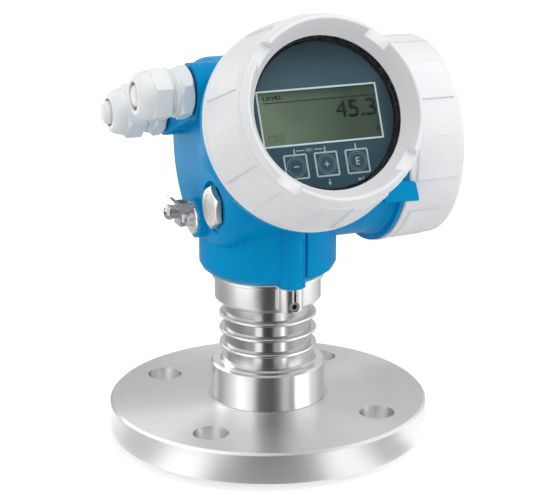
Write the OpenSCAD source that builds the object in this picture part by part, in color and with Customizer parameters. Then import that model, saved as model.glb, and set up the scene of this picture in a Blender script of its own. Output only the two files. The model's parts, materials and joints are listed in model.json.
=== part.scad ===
// Radar level transmitter on a DN50 pipe flange: a two-chamber head with a display,
// turning on a finned stainless neck.
// Millimetres, +Z up, origin at the centre of the flange's raised face, display towards -Y,
// connection cover towards +X, cable glands towards -X.

/* [Process flange] */
// Outer diameter of the pipe flange
flange_d = 165; // [140:1:285]
// Thickness of the flange plate above its raised face
flange_t = 17; // [12:0.5:30]
// Diameter of the raised sealing face
raised_d = 102; // [90:1:138]
// Height of the raised sealing face
raised_h = 3; // [2:0.5:5]
// Diameter of the circle of bolt holes
bolt_circle_d = 125; // [115:1:240]
// Diameter of each bolt hole
bolt_hole_d = 18; // [12:0.5:26]
// Number of bolt holes
bolt_count = 4; // [4:4:12]
// Turn of the first bolt hole from +X
bolt_turn = 41; // [0:1:90]
// Bore that holds the antenna window
horn_bore_d = 46; // [38:1:52]
// Bevel on the flange's upper rim
flange_bevel = 1.2; // [0.5:0.1:3]

/* [Antenna] */
// Diameter of the window's lip in the raised face
window_lip_d = 72; // [60:1:84]
// Thickness of the window's lip
window_lip_t = 2; // [1:0.1:2.6]
// Height of the lens cone above the flange
lens_h = 26; // [15:1:32]
// Outer diameter of the wave tube
wave_tube_d = 15; // [10:0.5:20]
// Wall of the wave tube
wave_tube_wall = 1.5; // [0.8:0.1:2.5]
// Height of the feed coupler
coupler_h = 8; // [5:0.5:10]
// Diameter of the feed coupler
coupler_d = 30; // [22:1:34]

/* [Neck] */
// Diameter of the boss on the flange
boss_d = 59.4; // [56:0.2:70]
// Height of the boss
boss_h = 20; // [12:0.5:30]
// Diameter of the root below the fins
root_d = 48.4; // [46:0.2:52]
// Diameter of the core between the fins
core_d = 45; // [42:0.2:47]
// Diameter of the cooling fins
fin_d = 50.4; // [49:0.2:54]
// Thickness of a fin
fin_t = 2.1; // [1:0.1:3]
// Spacing of the fins
fin_pitch = 8.3; // [6:0.1:10]
// Number of fins
fin_count = 3; // [1:1:3]
// Height of the first fin above the boss
first_fin = 8.6; // [5:0.1:12]
// Height of the neck's shoulder above the boss
shoulder_h = 32.4; // [30:0.2:45]
// Diameter of the spigot that the head turns on
spigot_d = 40; // [34:0.5:42]
// Length of the spigot above the shoulder
spigot_len = 31.6; // [29:0.2:40]

/* [Turning collar] */
// Outer diameter of the collar
collar_d = 54.8; // [50:0.2:58]
// Height of the collar under the housing
collar_h = 15.6; // [12:0.2:20]
// Diameter of the lip under the housing
collar_lip_d = 58; // [56:0.2:62]
// Height of the lip
collar_lip_h = 2; // [1:0.1:3]
// Diameter of the collar's register in the housing
register_d = 52; // [46:0.5:54]
// Height of the collar's register in the housing
register_h = 3; // [2:0.1:4]
// Width of the screw lug
lug_w = 13.2; // [10:0.2:16]
// Reach of the screw lug from the axis
lug_reach = 36.5; // [34:0.1:40]
// Height of the screw lug
lug_h = 12.6; // [10:0.1:14]
// Diameter of the collar screw
collar_screw_d = 5; // [4:0.5:6]

/* [Housing] */
// Height of the crossing of the display and connection axes
axis_z = 152; // [148:0.5:165]
// Outer diameter of the housing's neck
throat_d = 70.4; // [68:0.2:76]
// Thickness of the floor around the spigot
floor_t = 10; // [8:0.5:14]
// Outer diameter of the connection barrel
barrel_d = 96; // [94:0.5:99]
// Wall of the barrels
wall = 5; // [3.5:0.1:6]
// Distance from the axis to the closed end of the connection barrel
barrel_left = 36; // [34:0.5:38]
// Dome of the closed end
end_dome = 2.5; // [1:0.1:4]
// Thickness of the closed end
end_wall = 4; // [3:0.5:6]
// Distance from the axis to the seat of the connection cover
barrel_right = 54; // [52:0.5:60]
// Thickness of the wall between the two chambers
partition_t = 4; // [3:0.5:6]
// Tilt of the wall between the two chambers from level
partition_tilt = 25; // [15:1:35]
// Height of that wall over the crossing of the axes
partition_h = 10; // [6:0.5:14]

/* [Display barrel] */
// Upward tilt of the display
display_tilt = 24; // [0:1:40]
// Distance from the crossing of the axes to the seat of the display cover
display_seat = 50.5; // [50:0.1:60]
// Outer diameter of the display barrel
display_barrel_d = 94; // [92:0.5:98]
// Depth of the round mouth of the electronics chamber
mouth_depth = 13.5; // [10:0.5:20]

/* [Covers] */
// Diameter of the threaded spigots that carry the covers
cover_thread_d = 92; // [88:0.5:94]
// Length of those spigots
cover_thread_len = 12; // [10:0.5:16]
// Diameter of the flange behind the display cover
cover_flange_d = 102; // [100:0.2:103]
// Thickness of the flange behind the display cover
cover_flange_t = 4; // [3:0.1:6]
// Diameter of the flange behind the connection cover
connection_flange_d = 104.8; // [102:0.2:106]
// Thickness of the flange behind the connection cover
connection_flange_t = 2; // [1.6:0.1:4]
// Diameter of the display cover's rear rim
rim_d = 103; // [101:0.2:105]
// Gap between a cover and its seat
cover_gap = 0.5; // [0.3:0.1:1]
// Running clearance of the covers on their spigots, per side
cover_fit = 0.08; // [0.03:0.01:0.1]
// Pitch of the cover threads
cover_pitch = 3; // [2:0.5:4]
// Number of raised grip pads around each cover
pad_count = 8; // [4:1:16]
// Height of the grip pads
pad_h = 0.8; // [0.3:0.1:1.5]
// Width of a grip pad as an angle
pad_angle = 24; // [10:1:40]

/* [Display cover] */
// Depth from the rear rim to the shoulder
display_wall_len = 37; // [30:0.5:45]
// Diameter at the shoulder
shoulder_d = 93; // [90:0.2:98]
// Height of the raised ring above the shoulder
ring_h = 5; // [4:0.2:10]
// Outer diameter of the raised ring at its foot
ring_d = 91; // [88:0.2:92]
// Outer diameter of the raised ring at its lip
lip_d = 88; // [86:0.2:90]
// Inner diameter of the raised ring at its lip
lip_in_d = 83.6; // [80:0.2:85]
// Clear diameter of the window
window_d = 73.6; // [60:0.2:74]
// Depth of the glass below the shoulder
glass_depth = 6; // [4:0.5:8]
// Thickness of the glass
glass_t = 4; // [3:0.5:6]
// Diameter of the glass
glass_d = 79.4; // [76:0.2:80]
// Height of the glass ring
glass_ring_h = 4.5; // [3:0.5:6]
// Number of spanner notches in the raised ring
notch_count = 4; // [2:1:8]
// Width of a spanner notch
notch_w = 12; // [6:0.5:16]
// Turn of the first spanner notch
notch_turn = 49; // [0:1:90]

/* [Connection cover] */
// Depth of the connection cover
connection_cover_len = 31.5; // [26:0.5:40]
// Diameter of its rear rim
connection_rim_d = 105.6; // [103:0.2:107]
// Diameter of its closed end
connection_end_d = 102.8; // [98:0.2:104]
// Thickness of its closed end
connection_end_t = 5; // [4:0.5:8]

/* [Display module] */
// Diameter of the display module
module_d = 71; // [60:0.5:72]
// Depth of the display module
module_t = 12; // [8:0.5:16]
// Gap between the display and the glass
display_gap = 1.2; // [1:0.1:5]
// Width of the display window
lcd_w = 61.4; // [50:0.2:66]
// Height of the display window
lcd_h = 25.8; // [20:0.2:30]
// Thickness of the liquid crystal panel
lcd_t = 2; // [1:0.1:3]
// Height of the panel's centre over the module's centre
lcd_up = 0; // [-4:0.5:8]
// Shift of the panel's centre to the left
lcd_left = 1.4; // [-4:0.2:4]
// Diameter of the electronics case
electronics_d = 76; // [66:0.5:80]

/* [Glands] */
// Diameter of the gland shanks
gland_thread_d = 20; // [16:0.5:22]
// Distance from the axis to the gland seats
gland_seat = 45.2; // [43:0.1:50]
// Distance of the gland axes from the connection axis
gland_circle_r = 36; // [32:0.5:37]
// Angle of the upper gland above the rear horizontal
gland_a_turn = 107; // [95:1:115]
// Angle of the rear gland above the rear horizontal
gland_b_turn = 30; // [22:1:40]
// Diameter of the bosses under the glands
gland_boss_d = 28; // [27:0.5:32]
// Width across flats of the gland hexagons
gland_flats = 24; // [22:0.5:27]
// Thickness of the sealing washers
washer_t = 1; // [0.6:0.1:2]
// Thickness of the gland's hexagon
gland_hex_t = 6.6; // [4:0.1:8]
// Length of bare thread between the hexagon and the nut
gland_gap = 4.6; // [2:0.1:8]
// Diameter of the nut's thread
gland_nut_thread_d = 22; // [20:0.2:22.8]
// Length of the nut's hexagon
nut_hex_len = 9.2; // [7:0.1:16]
// Length of the nut's dome
nut_dome_len = 7; // [4:0.1:9]
// Diameter of the blanking plugs
blank_d = 12; // [9:0.5:13.4]
// Stand-out of the upper gland's blanking plug
blank_a_out = 0.3; // [0:0.1:10]
// Stand-out of the rear gland's blanking plug
blank_b_out = 3.2; // [0:0.1:10]
// Turn of the upper gland's hexagon
hex_a_turn = 54; // [0:1:59]
// Turn of the upper gland's nut
nut_a_turn = 50; // [0:1:59]
// Turn of the rear gland's hexagon
hex_b_turn = 6; // [0:1:59]
// Turn of the rear gland's nut
nut_b_turn = 12; // [0:1:59]

/* [Entry plug] */
// Distance from the axis to the entry plug's seat
entry_seat = 35.5; // [34:0.5:40]
// Sideways place of the entry plug, towards the front
entry_front = 21; // [18:0.5:24]
// Height of the entry plug
entry_z = 130; // [126:0.5:136]
// Diameter of the boss under the entry plug
entry_boss_d = 24.4; // [22:0.2:27]
// Diameter of the entry plug's shank
entry_thread_d = 16; // [12:0.5:18]
// Width across flats of the entry plug
entry_flats = 19; // [17:0.5:22]
// Thickness of the entry plug's head
entry_head_t = 3; // [2.4:0.1:7]

/* [Ground terminal] */
// Distance from the axis to the ground terminal's seat
ground_seat = 40; // [38:0.5:44]
// Height of the ground terminal
ground_z = 119.5; // [116:0.5:124]
// Diameter of the boss under the ground terminal
ground_boss_d = 20; // [18:0.5:22]
// Diameter of the ground base
ground_base_d = 16.4; // [14:0.2:18]
// Thickness of the ground base
ground_base_t = 1.6; // [1:0.1:5]
// Diameter of the ground screw
ground_screw_d = 4; // [3:0.5:5]
// Height of the ground screw over the base's centre
ground_screw_up = 4.4; // [3:0.1:5]
// Room for the lead under the clamp
clamp_room = 6; // [2:0.1:8]
// Thickness of the clamp's sheet
clamp_t = 1.2; // [0.6:0.1:1.5]

/* [Terminals] */
// Width of the terminal block
terminal_w = 54; // [40:1:60]
// Height of the terminal block
terminal_h = 20; // [14:0.5:24]
// Depth of the terminal block
terminal_t = 13; // [8:0.5:16]
// Number of terminals
terminal_count = 6; // [2:1:8]
// Width of the square ways for the wires
wire_way = 3.6; // [2:0.2:4]

/* [Hidden] */
$fn = 96;
CLEAR = 0.05;           // running clearance per side
SEAT_GAP = 0.1;         // gap left between faces that turn on each other
SEAL_CORD = 2.5;        // cord diameter of the round seals
LOOSE = 0.3;            // gap between curved faces that move apart
EPS = 0.01;             // overlap of joined solids

flange_top = raised_h + flange_t;
boss_top = flange_top + boss_h;
shoulder_z = boss_top + shoulder_h;
spigot_top = shoulder_z + spigot_len;
collar_top = shoulder_z + collar_h;
floor_top = collar_top + floor_t;
clip_t = 1.5;
clip_z = floor_top + SEAT_GAP;
clip_groove = 1.6;
neck_bore_r = wave_tube_d / 2 + CLEAR;
horn_top = flange_top + 38;

barrel_r = barrel_d / 2;
chamber_r = barrel_r - wall;
display_r = display_barrel_d / 2;
spigot_r = cover_thread_d / 2;
spigot_in_r = spigot_r - wall + 0.5;
cover_in_r = spigot_r + cover_fit;
rim_r = rim_d / 2;
rim_lip = 2.2;

display_rear = display_seat + cover_gap;
display_shoulder = display_rear + display_wall_len;
glass_front = display_shoulder - glass_depth;
glass_back = glass_front - glass_t;
display_face = glass_back - display_gap;
module_back = display_face - module_t;
case_floor = display_seat - mouth_depth;
case_front = module_back - 3;

connection_rear = barrel_right + cover_gap;
connection_end = connection_rear + connection_cover_len;
side_wall_x = 46;

gland_seal_r = blank_d / 2 + 2.45;
nut_start = washer_t + gland_hex_t + gland_gap;
nut_shoulder = nut_start + nut_hex_len;
nut_end = nut_shoulder + nut_dome_len;
nut_pitch = 1.5;
gland_bore_len = 12;

clamp_z = ground_base_t + clamp_room;
ground_stud_r = 7;       // stud of the ground base, sunk in the housing
ground_stud_len = 7;
feed_d = 14;             // barrel of the wire feedthrough
feed_up = -10;           // its height over the connection axis
terminal_up = -10;       // height of the terminal block over the connection axis
inner_ground_drop = 30;  // distance of the inner ground screw below that axis

// ---------- places ----------

// local +Z along the display axis, local +Y up the display
module at_display() {
  translate([0, 0, axis_z]) rotate([90 - display_tilt, 0, 0]) children();
}

// local +Z along the connection axis towards the cover
module at_connection() {
  translate([0, 0, axis_z]) rotate([0, 90, 0]) children();
}

// local +Z out of the left side, local +X up
module to_left(y, z, x) {
  translate([-x, y, z]) rotate([0, -90, 0]) children();
}

module at_gland(turn) {
  to_left(gland_circle_r * cos(turn), axis_z + gland_circle_r * sin(turn), gland_seat) children();
}

module at_entry() {
  to_left(-entry_front, entry_z, entry_seat) children();
}

module at_ground() {
  to_left(0, ground_z, ground_seat) children();
}

// ---------- shared shapes ----------

// points of an arc in a profile, from angle a to angle b
function arc(centre, r, a, b, n = 8) =
  [for (i = [0:n]) centre + r * [cos(a + (b - a) * i / n), sin(a + (b - a) * i / n)]];

module ring(outer_r, inner_r, h) {
  difference() {
    cylinder(r = outer_r, h = h);
    translate([0, 0, -1]) cylinder(r = inner_r, h = h + 2);
  }
}

module round_seal(centre_r, cord_d) {
  rotate_extrude() translate([centre_r, 0]) circle(d = cord_d, $fn = 32);
}

module hexagon(flats, h) {
  cylinder(d = flats / cos(30), h = h, $fn = 6);
}

// hexagon whose corners are turned off at its far end, and at its near end too if both is set
module turned_hexagon(flats, h, bevel, both = false) {
  corner_r = flats / cos(30) / 2;
  face_r = flats / 2 - 0.2;
  drop = (corner_r - face_r) * bevel;
  low = both ? drop : 0;
  low_r = both ? face_r : corner_r + 1;
  intersection() {
    hexagon(flats, h);
    rotate_extrude() polygon([[0, 0], [low_r, 0], [corner_r + 0.01, low],
      [corner_r + 0.01, h - drop], [face_r, h], [0, h]]);
  }
}

module socket_hex(flats, depth) {
  translate([0, 0, -depth]) hexagon(flats, depth + 1);
}

// ---------- process flange, antenna and neck ----------

module process_flange() {
  rim_r = flange_d / 2;
  lip_r = window_lip_d / 2 + CLEAR;
  color([0.72, 0.72, 0.71])
  difference() {
    rotate_extrude() polygon([
      [horn_bore_d / 2, window_lip_t + CLEAR], [lip_r, window_lip_t + CLEAR], [lip_r, 0],
      [raised_d / 2, 0], [raised_d / 2, raised_h], [rim_r - flange_bevel, raised_h],
      [rim_r, raised_h + flange_bevel], [rim_r, flange_top - flange_bevel],
      [rim_r - flange_bevel, flange_top], [boss_d / 2 + 1.6, flange_top],
      [boss_d / 2 + 1.2, flange_top - 0.8], [boss_d / 2 + 0.4, flange_top - 0.8],
      [boss_d / 2, flange_top], [horn_bore_d / 2, flange_top]]);
    for (i = [0:bolt_count - 1])
      rotate(bolt_turn + i * 360 / bolt_count)
        translate([bolt_circle_d / 2, 0, -1]) cylinder(d = bolt_hole_d, h = flange_top + 2);
  }
}

module antenna_window() {
  stem_r = horn_bore_d / 2 - CLEAR;
  groove_z = flange_top / 2;
  groove_r = stem_r - SEAL_CORD;
  color([0.93, 0.93, 0.9])
  rotate_extrude() polygon([
    [0, 0], [window_lip_d / 2, 0], [window_lip_d / 2, window_lip_t], [stem_r, window_lip_t],
    [stem_r, groove_z - SEAL_CORD / 2 - 0.2], [groove_r, groove_z - SEAL_CORD / 2 - 0.2],
    [groove_r, groove_z + SEAL_CORD / 2 + 0.2], [stem_r, groove_z + SEAL_CORD / 2 + 0.2],
    [stem_r, flange_top - 1], [stem_r - 4, flange_top], [1, flange_top + lens_h],
    [0, flange_top + lens_h]]);
}

module window_seal() {
  color([0.08, 0.08, 0.08])
  translate([0, 0, flange_top / 2])
    round_seal(horn_bore_d / 2 - CLEAR - SEAL_CORD / 2, SEAL_CORD);
}

// rounded edge of fin number i, from below to above
function fin(i) = let (z = boss_top + first_fin + i * fin_pitch, e = fin_t / 2)
  concat([[core_d / 2, z - e]], arc([fin_d / 2 - e, z], e, -90, 90, 6), [[core_d / 2, z + e]]);

module finned_neck() {
  core_r = core_d / 2;
  turn_r = spigot_d / 2;
  seal_z = shoulder_z + collar_h / 2;
  seal_r = turn_r + CLEAR - SEAL_CORD - 0.15;
  fins = [for (i = [0:fin_count - 1]) each fin(i)];
  color([0.74, 0.74, 0.73])
  rotate_extrude() polygon(concat(
    [[neck_bore_r, horn_top], [horn_bore_d / 2 - 1, flange_top], [boss_d / 2, flange_top],
      [boss_d / 2, boss_top - 1], [boss_d / 2 - 1, boss_top], [root_d / 2 + 0.8, boss_top],
      [root_d / 2, boss_top + 0.8], [root_d / 2, boss_top + first_fin - fin_t / 2]],
    fins,
    [[core_r, shoulder_z - 1], [core_r - 0.5, shoulder_z], [turn_r, shoulder_z],
      [turn_r, seal_z - SEAL_CORD / 2 - 0.3], [seal_r, seal_z - SEAL_CORD / 2 - 0.3],
      [seal_r, seal_z + SEAL_CORD / 2 + 0.3], [turn_r, seal_z + SEAL_CORD / 2 + 0.3],
      [turn_r, clip_z], [turn_r - clip_groove, clip_z],
      [turn_r - clip_groove, clip_z + clip_t + CLEAR], [turn_r, clip_z + clip_t + CLEAR],
      [turn_r, spigot_top - 1], [turn_r - 1, spigot_top], [neck_bore_r, spigot_top]]));
}

module wave_tube() {
  color([0.8, 0.68, 0.4])
  translate([0, 0, horn_top])
    ring(wave_tube_d / 2, wave_tube_d / 2 - wave_tube_wall, spigot_top - horn_top);
}

module feed_coupler() {
  socket_d = 6.4;
  socket_len = 4;
  color([0.83, 0.72, 0.42])
  translate([0, 0, spigot_top]) {
    difference() {
      cylinder(d = coupler_d, h = coupler_h);
      for (i = [0:3])
        rotate(45 + i * 90) translate([coupler_d / 2 - 3.5, 0, 2]) cylinder(d = 3.2, h = coupler_h);
    }
    translate([0, 0, coupler_h - EPS])
      ring(socket_d / 2, socket_d / 2 - 1.2, socket_len);
  }
}

module neck_seal() {
  color([0.08, 0.08, 0.08])
  translate([0, 0, shoulder_z + collar_h / 2])
    round_seal(spigot_d / 2 - SEAL_CORD / 2 + CLEAR / 2, SEAL_CORD);
}

// open snap ring with its two plier eyes
module retaining_ring() {
  inner_r = spigot_d / 2 - clip_groove + CLEAR / 2;
  outer_r = spigot_d / 2 + 2;
  gap_w = 6;
  color([0.35, 0.35, 0.37])
  translate([0, 0, clip_z + CLEAR / 2])
  difference() {
    union() {
      ring(outer_r, inner_r, clip_t);
      for (side = [-1, 1])
        translate([side * (gap_w / 2 + 2), outer_r - 0.4, 0]) cylinder(d = 4.4, h = clip_t);
    }
    translate([0, 0, -1]) cylinder(r = inner_r, h = clip_t + 2);
    translate([-gap_w / 2, 0, -1]) cube([gap_w, outer_r + 5, clip_t + 2]);
    for (side = [-1, 1])
      translate([side * (gap_w / 2 + 2), outer_r - 0.4, -1]) cylinder(d = 2, h = clip_t + 2);
  }
}

// ---------- turning collar ----------

module collar_lug() {
  nose_r = lug_w / 2;
  z0 = collar_top - lug_h;
  translate([0, 0, z0])
    linear_extrude(lug_h) {
      translate([0, nose_r - lug_reach]) circle(r = nose_r, $fn = 48);
      translate([-nose_r, nose_r - lug_reach]) square([lug_w, lug_reach - nose_r - spigot_d / 2]);
    }
}

module turning_collar() {
  bore_r = spigot_d / 2 + CLEAR;
  out_r = collar_d / 2;
  lip_r = collar_lip_d / 2;
  slot_w = 1.3;
  screw_z = collar_top - lug_h + 2.8;
  color([0.74, 0.74, 0.73])
  difference() {
    union() {
      rotate_extrude() polygon([
        [bore_r - 1, shoulder_z], [out_r - 1.8, shoulder_z], [out_r, shoulder_z + 2],
        [out_r, collar_top - collar_lip_h - 0.6], [lip_r, collar_top - collar_lip_h],
        [lip_r, collar_top], [register_d / 2, collar_top],
        [register_d / 2, collar_top + register_h], [bore_r - 1, collar_top + register_h]]);
      collar_lug();
    }
    translate([0, 0, shoulder_z - 1]) cylinder(r = bore_r, h = collar_h + register_h + 2);
    translate([0, 0, screw_z]) rotate([90, 0, 0])
      cylinder(d = collar_screw_d + 2 * CLEAR, h = lug_reach + 1, $fn = 48);
    translate([-slot_w / 2, -lug_reach - 1, screw_z]) cube([slot_w, 8, lug_h]);
  }
}

module collar_screw() {
  screw_z = collar_top - lug_h + 2.8;
  tip_r = spigot_d / 2 + LOOSE;
  len = lug_reach - 0.8 - tip_r;
  color([0.2, 0.2, 0.21])
  translate([0, -tip_r, screw_z]) rotate([90, 0, 0])
  difference() {
    union() {
      cylinder(d1 = collar_screw_d - 1.6, d2 = collar_screw_d, h = 0.8, $fn = 48);
      translate([0, 0, 0.8]) cylinder(d = collar_screw_d, h = len - 0.8, $fn = 48);
    }
    translate([0, 0, len]) socket_hex(collar_screw_d / 2, 3);
  }
}

// ---------- housing ----------

// half space behind and above the wall between the chambers; shift moves it upwards
module above_partition(shift) {
  span = 200;
  translate([0, 0, axis_z]) rotate([-partition_tilt, 0, 0])
    translate([-span / 2, -span / 2, partition_h + shift]) cube([span, span, span]);
}

module barrel_outside() {
  round_r = 8;
  dome_r = barrel_r - round_r;
  flange_r = connection_flange_d / 2;
  at_connection() {
    rotate_extrude() polygon(concat(
      [[0, -barrel_left - end_dome]],
      [for (i = [1:6]) [dome_r * i / 6, -barrel_left - end_dome * (1 - pow(i / 6, 2))]],
      arc([barrel_r - round_r, -barrel_left + round_r], round_r, -78, 0, 6),
      [[barrel_r, barrel_right - connection_flange_t - 4],
        [barrel_r + 1.6, barrel_right - connection_flange_t - 0.6],
        [flange_r, barrel_right - connection_flange_t],
        [flange_r, barrel_right - 0.6], [flange_r - 0.6, barrel_right],
        [spigot_r, barrel_right], [spigot_r, barrel_right + cover_thread_len - 1],
        [spigot_r - 1, barrel_right + cover_thread_len], [0, barrel_right + cover_thread_len]]));
  }
}

module display_outside() {
  flange_r = cover_flange_d / 2;
  root = display_seat - 34;
  at_display()
    rotate_extrude() polygon([
      [0, 0], [display_r - 9, 0], [display_r - 7, root], [display_r, display_seat - 16],
      [display_r, display_seat - cover_flange_t - 2],
      [flange_r, display_seat - cover_flange_t], [flange_r, display_seat - 0.6],
      [flange_r - 0.6, display_seat], [spigot_r, display_seat],
      [spigot_r, display_seat + cover_thread_len - 1],
      [spigot_r - 1, display_seat + cover_thread_len], [0, display_seat + cover_thread_len]]);
}

module throat() {
  throat_r = throat_d / 2;
  rotate_extrude() polygon([
    [0, collar_top], [collar_lip_d / 2 + 0.4, collar_top], [throat_r - 1.6, collar_top + 3],
    [throat_r, collar_top + 6], [throat_r, axis_z - 20], [0, axis_z - 20]]);
}

// upright rib over the collar's lug, with a step down its right side
module front_rib() {
  rib_w = lug_w + 0.6;
  reach = lug_reach + 2.4;
  nose_r = rib_w / 2;
  rib_top = collar_top + 36;
  difference() {
    translate([0, 0, collar_top])
      linear_extrude(rib_top - collar_top) {
        translate([0, nose_r - reach]) circle(r = nose_r, $fn = 48);
        translate([-nose_r, nose_r - reach]) square([rib_w, reach - nose_r]);
      }
    translate([nose_r - 3.4, -reach - 1, collar_top - 1]) cube([6, 3.2, 27]);
  }
}

module raised_pad(from, to, proud, z, h) {
  throat_r = throat_d / 2;
  translate([0, 0, z])
    rotate([0, 0, from]) rotate_extrude(angle = to - from)
      translate([throat_r - 2, 0]) square([proud + 2, h]);
}

module gland_hub() {
  boss_r = gland_boss_d / 2;
  web_r = boss_r - 1;
  depth = gland_seat - barrel_left + 16;
  ya = gland_circle_r * cos(gland_a_turn);
  za = gland_circle_r * sin(gland_a_turn);
  yb = gland_circle_r * cos(gland_b_turn);
  zb = gland_circle_r * sin(gland_b_turn);
  span = norm([yb - ya, zb - za]);
  for (turn = [gland_a_turn, gland_b_turn])
    at_gland(turn) translate([0, 0, -depth]) cylinder(r = boss_r, h = depth);
  to_left(ya, axis_z + za, gland_seat)
    rotate([0, 0, atan2(yb - ya, zb - za)])
      translate([0, -web_r, -depth]) cube([span, 2 * web_r, depth]);
}

// web in the corner between the two barrels, in front of the connection cover's rim
module corner_lug() {
  lug_right = barrel_right + 5;
  lug_front = -54;
  difference() {
    rotate([90, 0, 0])
      translate([0, 0, 36]) linear_extrude(-lug_front - 36)
        polygon([[40, axis_z - 19.5], [lug_right - 0.8, axis_z - 20.2], [lug_right, axis_z - 19.4],
          [lug_right - 2, axis_z - 11.2], [lug_right - 3, axis_z - 10.2], [46, axis_z - 9],
          [40, axis_z - 9]]);
    at_connection() translate([0, 0, barrel_right - 0.4])
      cylinder(r = connection_rim_d / 2 + pad_h + 0.8, h = 40);
    at_display() translate([0, 0, display_seat - 0.4]) cylinder(r = rim_r + 0.8, h = 60);
  }
}

module housing_outside() {
  barrel_outside();
  difference() {
    display_outside();
    for (turn = [gland_a_turn, gland_b_turn])
      at_gland(turn) cylinder(d = gland_flats / cos(30) + 2 * LOOSE, h = 60);
  }
  throat();
  front_rib();
  gland_hub();
  corner_lug();
  raised_pad(-79, -54, 1.4, collar_top + 5, 24);
  raised_pad(-79, -40, 3, collar_top + 29.5, 12);
  at_entry() translate([0, 0, -46]) cylinder(d = entry_boss_d, h = 46);
  at_ground() translate([0, 0, -30]) cylinder(d = ground_boss_d, h = 30);
}

module connection_chamber() {
  mouth = barrel_right + cover_thread_len + 1;
  at_connection() translate([0, 0, side_wall_x]) cylinder(r = spigot_in_r, h = mouth - side_wall_x);
  difference() {
    intersection() {
      at_connection() translate([0, 0, end_wall - barrel_left])
        cylinder(r = chamber_r, h = barrel_left - end_wall + side_wall_x + EPS);
      above_partition(partition_t / 2);
    }
    at_display() translate([0, 0, case_floor - partition_t]) cylinder(r = 80, h = 60);
  }
}

module electronics_chamber() {
  at_display() translate([0, 0, case_floor]) cylinder(r = spigot_in_r, h = 40);
  difference() {
    at_connection() translate([0, 0, end_wall - barrel_left])
      cylinder(r = chamber_r, h = barrel_left - end_wall + side_wall_x - partition_t);
    above_partition(-partition_t / 2);
    at_display() translate([0, 0, case_floor]) cylinder(r = 80, h = 60);
  }
  translate([0, 0, floor_top]) cylinder(d = throat_d - 2 * wall - 6, h = 16);
}

module housing() {
  color([0.0, 0.48, 0.74])
  difference() {
    housing_outside();
    connection_chamber();
    electronics_chamber();
    translate([0, 0, collar_top - 1]) cylinder(r = spigot_d / 2 + CLEAR, h = floor_t + 2);
    translate([0, 0, collar_top - 1]) cylinder(r = register_d / 2 + CLEAR, h = register_h + 1 + CLEAR);
    for (turn = [gland_a_turn, gland_b_turn])
      at_gland(turn) translate([0, 0, -gland_seat + barrel_left - end_wall - EPS])
        cylinder(d = gland_thread_d + 2 * CLEAR, h = 40);
    at_entry() translate([0, 0, -16]) cylinder(d = entry_thread_d + 2 * CLEAR, h = 20);
    at_entry() cylinder(d = entry_boss_d + 1.6, h = 20);
    at_ground() translate([0, 0, 0.6 - ground_stud_len]) cylinder(r = ground_stud_r + CLEAR, h = 20);
    at_connection() translate([0, 0, side_wall_x - partition_t - 1])
      translate([-feed_up, 0, 0]) cylinder(d = feed_d + 2 * CLEAR, h = 10, $fn = 48);
    at_connection() translate([inner_ground_drop, 0, side_wall_x - 3])
      cylinder(d = 5 + 2 * CLEAR, h = 10, $fn = 48);
  }
}

// ---------- covers ----------

// raised grip pads on a tapered wall, from radius r0 at z0 to radius r1 at z1
module grip_pads(r0, z0, r1, z1, turn) {
  for (i = [0:pad_count - 1])
    rotate([0, 0, turn - pad_angle / 2 + i * 360 / pad_count])
      rotate_extrude(angle = pad_angle)
        polygon([[r0 - 2, z0], [r0, z0], [r0 + pad_h, z0 + pad_h], [r1 + pad_h, z1 - pad_h],
          [r1, z1], [r1 - 2, z1]]);
}

// inside wall of a cover's threaded skirt, from its far end to its rear rim
function skirt(rear, far_r) = let (seal_z = rear + 3.5, half = SEAL_CORD / 2 + 0.2,
    groove_r = spigot_r + SEAL_CORD + 2 * CLEAR)
  [[far_r, rear + cover_thread_len + 1.5], [cover_in_r, rear + cover_thread_len + 0.5],
    [cover_in_r, seal_z + half], [groove_r, seal_z + half], [groove_r, seal_z - half],
    [cover_in_r, seal_z - half], [cover_in_r, rear + 0.6], [cover_in_r + 0.6, rear]];

module cover_seal(rear) {
  translate([0, 0, rear + 3.5]) round_seal(spigot_r + CLEAR + SEAL_CORD / 2, SEAL_CORD);
}

module display_cover() {
  rear = display_rear;
  sh = display_shoulder;
  lip = sh + ring_h;
  wall_r = rim_r - 1;
  wall_z = rear + rim_lip + 0.8;
  glass_r = glass_d / 2 + CLEAR * 2;
  ring_z = glass_back - glass_ring_h - 0.5;
  cavity_r = cover_in_r - 3;
  color([0.87, 0.88, 0.9])
  at_display()
  difference() {
    union() {
      rotate_extrude() polygon(concat(
        [[rim_r - 0.6, rear], [rim_r, rear + 0.6], [rim_r, rear + rim_lip], [wall_r, wall_z]],
        arc([shoulder_d / 2 - 1.5, sh - 1.5], 1.5, 8, 90, 5),
        [[ring_d / 2, sh]],
        arc([lip_d / 2 - 1.2, lip - 1.2], 1.2, 6, 90, 5),
        arc([lip_in_d / 2 + 0.9, lip - 0.9], 0.9, 90, 150, 3),
        [[window_d / 2 + 0.4, glass_front + 1.2], [window_d / 2, glass_front + 0.8],
          [window_d / 2, glass_front], [glass_r, glass_front], [glass_r, ring_z],
          [cavity_r, ring_z]],
        skirt(rear, cavity_r)));
      grip_pads(wall_r, wall_z + 1, shoulder_d / 2, sh - 2, 16);
    }
    for (i = [0:notch_count - 1])
      rotate([0, 0, notch_turn + i * 360 / notch_count])
        translate([lip_in_d / 2 - 2.4, -notch_w / 2, sh + 0.5]) cube([20, notch_w, ring_h]);
  }
}

module display_cover_seal() {
  color([0.08, 0.08, 0.08]) at_display() cover_seal(display_rear);
}

module display_glass() {
  color([0.8, 0.88, 0.9, 0.35])
  at_display() translate([0, 0, glass_back])
  rotate_extrude() polygon([[0, 0], [glass_d / 2 - 0.5, 0], [glass_d / 2, 0.5],
    [glass_d / 2, glass_t - CLEAR - 0.5], [glass_d / 2 - 0.5, glass_t - CLEAR],
    [0, glass_t - CLEAR]]);
}

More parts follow.
